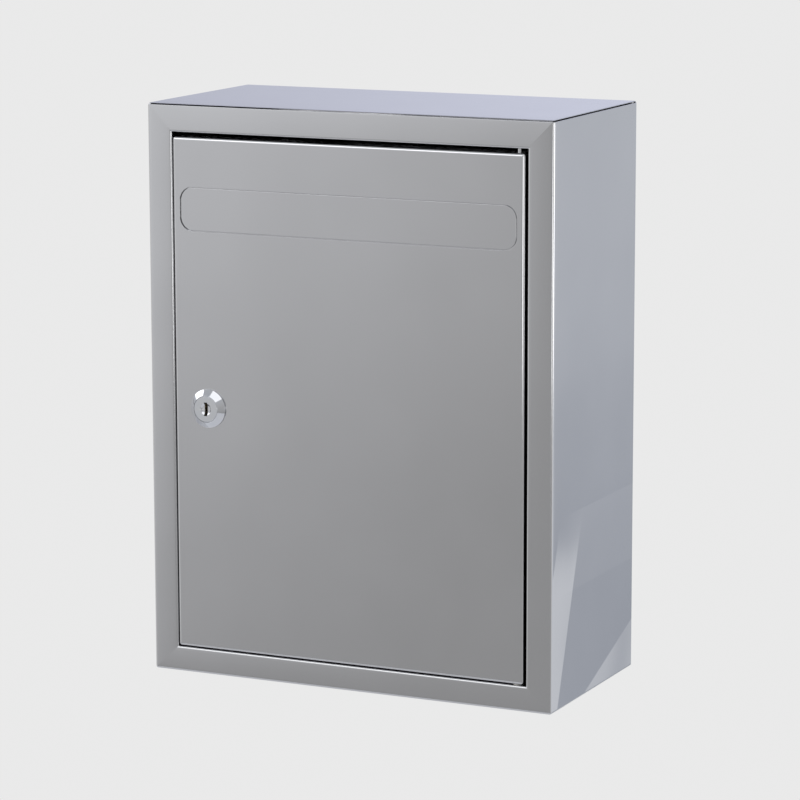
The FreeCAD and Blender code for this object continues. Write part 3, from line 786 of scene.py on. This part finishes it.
def flap_rod():
    radius = (ROD[HIGH][2] - ROD[LOW][2]) / 2
    length = ROD[HIGH][0] - ROD[LOW][0]
    soft = 0.4 * MM
    profile = (
        [(0, 0)]
        + arc_points((radius - soft, soft), soft, 270, 360, 5)
        + arc_points((radius - soft, length - soft), soft, 0, 90, 5)
        + [(0, length)]
    )
    obj = lathe("flap_rod_drawn", profile, (ROD[LOW][0], ROD_Y, ROD_Z), (1, 0, 0), 40)
    add_piece(smooth_metal(obj, 0), "door", "bright_steel", WIRE, "flap_rod")


def flap_springs():
    """Two torsion springs on the rod. One leg lies on the flap's backing, and the other on the door."""
    wire_r, coil_r = SPRING_WIRE_R, SPRING_COIL_R
    flap_y = BACKING[LOW][1] + SHEET + wire_r + SPRING_CLEAR
    door_y = depth_y(SHEET + wire_r + SPRING_CLEAR)
    steps = SPRING_TURNS * 24
    for node, side in (("left_flap_spring", -1), ("right_flap_spring", 1)):
        low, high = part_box(node)
        inboard, outboard = (low[0], high[0]) if side > 0 else (high[0], low[0])
        start_x = inboard + side * wire_r
        coil = []
        for i in range(steps + 1):
            angle = math.tau * SPRING_TURNS * i / steps
            coil.append(
                (
                    start_x + side * SPRING_PITCH * SPRING_TURNS * i / steps,
                    ROD_Y - coil_r * math.cos(angle),
                    ROD_Z + coil_r * math.sin(angle),
                )
            )
        end_x = coil[-1][0]
        flap_leg = [
            (start_x, flap_y, ROD_Z - FLAP_LEG),
            (start_x, flap_y + SPRING_TILT, ROD_Z - FLAP_LEG * 0.5),
        ]
        door_leg = [
            (end_x, door_y + SPRING_TILT, ROD_Z + DOOR_LEG * 0.5),
            (end_x, door_y, ROD_Z + DOOR_LEG),
        ]
        obj = tube(f"{node}_wound", flap_leg + coil + door_leg, wire_r)
        smooth_metal(obj, 0)
        obj.data.materials.append(WIRE)
        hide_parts(node)
        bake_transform(obj)


# ---- the lock --------------------------------------------------------------------------------
def lock_bezel():
    """The bezel, its threaded barrel, and the lug that stops the lock's turn."""
    origin = (LOCK_X, depth_y(0), LOCK_Z)
    face, seat = -BEZEL_RISE, HEAD_SEAT - BEZEL_RISE
    soft, lead = BEZEL_SOFT, BEZEL_LEAD
    profile = (
        [(PLUG_BORE_R, seat), (HEAD_BORE_R, seat), (HEAD_BORE_R, face + lead), (HEAD_BORE_R + lead, face)]
        + arc_points((BEZEL_FACE_R - soft, face + soft), soft, 270, 320, 4)
        + arc_points((BEZEL_R - soft, -BEZEL_SIDE), soft, 320, 360, 4)
        + [(BEZEL_R, -0.1 * MM), (BEZEL_R - 0.1 * MM, 0)]
        + [(BARREL_R - THREAD_DEPTH, 0), (PLUG_BORE_R, 0)]
    )
    bezel = turned_ring("lock_bezel", profile, origin, (0, 1, 0), 128)
    add_piece(smooth_metal(bezel, 0), "door", "chrome", CHROME, "lock_housing")
    barrel_line = thread_line(BARREL_R, 0, BARREL_END) + [(PLUG_BORE_R, BARREL_END), (PLUG_BORE_R, 0)]
    barrel = turned_ring("lock_barrel", barrel_line, origin, (0, 1, 0), 96)
    reach = 2 * BARREL_R
    for side in (-1, 1):
        x0, x1 = sorted((LOCK_X + side * BARREL_FLAT, LOCK_X + side * reach))
        cut(barrel, slab("flat", (x0, FRONT - reach, LOCK_Z - reach), (x1, FRONT + reach, LOCK_Z + reach)))
    add_piece(smooth_metal(barrel, 0.05 * MM), "door", "chrome", CHROME)
    add_piece(smooth_metal(stop_lug(), SOFT_EDGE), "door", "chrome", CHROME)


def thread_line(radius, start, end):
    """The outline of a screw thread: its crests and roots, as (radius, distance) pairs."""
    turns = round((end - start) / THREAD_PITCH)
    line = [(radius - THREAD_DEPTH, start)]
    for i in range(turns):
        line.append((radius, start + THREAD_PITCH * (i + 0.4)))
        line.append((radius, start + THREAD_PITCH * (i + 0.6)))
        line.append((radius - THREAD_DEPTH, start + THREAD_PITCH * (i + 1)))
    return line


def stop_lug():
    """The raised part ring on the barrel's back end."""
    steps = 24
    start, end = LUG_TURNS
    turns = [math.radians(start + (end - start) * i / steps) for i in range(steps + 1)]
    outline = [(LUG_R[1], t) for t in turns] + [(LUG_R[0], t) for t in reversed(turns)]
    rings = [
        [(LOCK_X + r * math.sin(t), depth_y(depth), LOCK_Z + r * math.cos(t)) for r, t in outline]
        for depth in LUG_ENDS
    ]
    return loft("stop_lug", rings)


def lock_nut_and_cam():
    from_node("lock_nut", "door", "zinc_plate", ZINC)
    from_node("lock_wafers", "lock_cylinder", "brass", BRASS, 0.05 * MM)
    for node in ("stop_washer", "lock_cam", "cam_washer", "cam_nut"):
        from_node(node, "lock_cylinder", "zinc_plate", ZINC)
    from_node("lock_plug", "lock_cylinder", "chrome", CHROME, 0.05 * MM)


# ---- the stage -------------------------------------------------------------------------------
def plain_floor():
    """A pale floor, well below the box."""
    size, drop = 1.5, 0.9
    mesh = bpy.data.meshes.new("floor")
    mesh.from_pydata(
        [(-size, -size, -drop), (size, -size, -drop), (size, size, -drop), (-size, size, -drop)],
        [],
        [(0, 1, 2, 3)],
    )
    obj = new_object("floor", mesh)
    n = Nodes("pale_floor")
    n.shader.inputs["Base Color"].default_value = (0.8, 0.8, 0.8, 1)
    n.shader.inputs["Roughness"].default_value = 0.7
    mesh.materials.append(n.material)


def camera():
    data = bpy.data.cameras.new("camera")
    data.lens = LENS
    data.sensor_width = SENSOR
    data.shift_x, data.shift_y = LENS_SHIFT
    obj = bpy.data.objects.new("camera", data)
    bpy.context.collection.objects.link(obj)
    azimuth, elevation, roll = (math.radians(angle) for angle in CAMERA_TURNS)
    obj.location = CAMERA_AT
    level = math.cos(elevation)
    ahead = Vector((-math.sin(azimuth) * level, math.cos(azimuth) * level, -math.sin(elevation)))
    obj.rotation_mode = "QUATERNION"
    obj.rotation_quaternion = ahead.to_track_quat("-Z", "Y") @ Quaternion((0, 0, 1), roll)
    bpy.context.scene.camera = obj


def softbox(name, azimuth, elevation, distance, width, height, brightness):
    """An area light at a bearing from the box. The room's own walls have a brightness of about 0.6."""
    data = bpy.data.lights.new(name, "AREA")
    data.shape = "RECTANGLE"
    data.size = width
    data.size_y = height
    data.energy = brightness * math.pi * width * height
    obj = bpy.data.objects.new(name, data)
    bpy.context.collection.objects.link(obj)
    away = bearing(azimuth, elevation)
    obj.location = Vector((0, FRONT / 2, 0)) + away * distance
    obj.rotation_mode = "QUATERNION"
    obj.rotation_quaternion = away.to_track_quat("Z", "Y")


class Sky:
    """A short way to wire up the studio's background from its direction."""

    def __init__(self):
        world = bpy.data.worlds.new("studio")
        bpy.context.scene.world = world
        world.use_nodes = True
        self.tree = world.node_tree
        self.direction = self.tree.nodes.new("ShaderNodeTexCoord").outputs["Generated"]
        split = self.tree.nodes.new("ShaderNodeSeparateXYZ")
        self.tree.links.new(self.direction, split.inputs["Vector"])
        self.x, self.y, self.z = (split.outputs[axis] for axis in "XYZ")

    def ease(self, source, start, end):
        """0 before start and 1 after end, with a smooth change between them."""
        node = self.tree.nodes.new("ShaderNodeMapRange")
        node.interpolation_type = "SMOOTHSTEP"
        low, high = min(start, end), max(start, end)
        node.inputs["From Min"].default_value = low
        node.inputs["From Max"].default_value = high
        if start > end:
            node.inputs["To Min"].default_value = 1.0
            node.inputs["To Max"].default_value = 0.0
        self.tree.links.new(source, node.inputs["Value"])
        return node.outputs["Result"]

    def toward(self, azimuth, elevation):
        """The cosine of the angle from a bearing. Azimuth 0 is in front of the door, 90 is at +X."""
        node = self.tree.nodes.new("ShaderNodeVectorMath")
        node.operation = "DOT_PRODUCT"
        self.tree.links.new(self.direction, node.inputs[0])
        node.inputs[1].default_value = bearing(azimuth, elevation)
        return node.outputs["Value"]

    def mix(self, amount, a, b):
        """Goes from a to b, which are colours or the outputs of other nodes."""
        node = self.tree.nodes.new("ShaderNodeMix")
        node.data_type = "RGBA"
        factor = [s for s in node.inputs if s.name == "Factor" and s.type == "VALUE"][0]
        self.tree.links.new(amount, factor)
        for value, socket in zip((a, b), [s for s in node.inputs if s.type == "RGBA"]):
            if isinstance(value, tuple):
                socket.default_value = (*value, 1)
            else:
                self.tree.links.new(value, socket)
        return [s for s in node.outputs if s.type == "RGBA"][0]

    def finish(self, colour):
        self.tree.links.new(colour, self.tree.nodes["Background"].inputs["Color"])


def bearing(azimuth, elevation):
    a, e = math.radians(azimuth), math.radians(elevation)
    return Vector((math.sin(a) * math.cos(e), -math.cos(a) * math.cos(e), math.sin(e)))


def grey(value, blue=1.0):
    return (value, value * (2 + blue) / 3, value * blue)


def spot(sky, azimuth, elevation, core, edge):
    """1 within core degrees of a bearing, and 0 beyond edge degrees."""
    ends = [math.cos(math.radians(angle)) for angle in (edge, core)]
    return sky.ease(sky.toward(azimuth, elevation), *ends)


def front_of_room(sky):
    """The half of the room in front of the door: brightest at a broad glow on the left."""
    floor, low_wall, high_wall = grey(0.34), grey(0.48), grey(0.56, 1.05)
    glow, left_end, right_end = grey(0.98, 1.03), grey(0.85), grey(0.80)
    walls = sky.mix(sky.ease(sky.z, -0.6, -0.12), floor, low_wall)
    walls = sky.mix(sky.ease(sky.z, -0.12, 0.5), walls, high_wall)
    walls = sky.mix(spot(sky, -43, 9, 12, 30), walls, glow)
    walls = sky.mix(sky.ease(sky.x, -0.66, -0.80), walls, left_end)
    return sky.mix(sky.ease(sky.x, 0.84, 0.95), walls, right_end)


def rear_of_room(sky):
    """The half behind the wall plane: pale low on the left, bluer above and on the right."""
    left_low, left_high, middle_high = grey(0.82), (0.54, 0.555, 0.65), (0.71, 0.735, 0.875)
    right_low, right_high, right_end = grey(0.50, 1.18), grey(0.69, 1.12), grey(0.86, 1.08)
    above = sky.mix(sky.ease(sky.x, -0.54, -0.34), left_high, middle_high)
    left = sky.mix(sky.ease(sky.z, -0.01, 0.05), left_low, above)
    right = sky.mix(sky.ease(sky.z, -0.24, -0.10), right_low, right_high)
    right = sky.mix(sky.ease(sky.x, 0.40, 0.445), right, right_end)
    return sky.mix(sky.ease(sky.x, -0.10, 0.20), left, right)


def studio():
    """A plain pale room, lit by soft lights in front of the box and at its sides."""
    sky = Sky()
    room = sky.mix(sky.ease(sky.y, -0.25, 0.35), front_of_room(sky), rear_of_room(sky))
    sky.finish(room)
    for settings in SOFTBOXES:
        softbox(*settings)
    bpy.context.scene.view_settings.view_transform = "Standard"


body_shell()
back_panel()
hinge_brackets_and_stops()
bumpers()
washer_under_door()
door_panel()
hinge_plates()
hinge_pins()
flap_face()
flap_inside()
flap_rod()
flap_springs()
lock_bezel()
lock_nut_and_cam()
plain_floor()
camera()
studio()
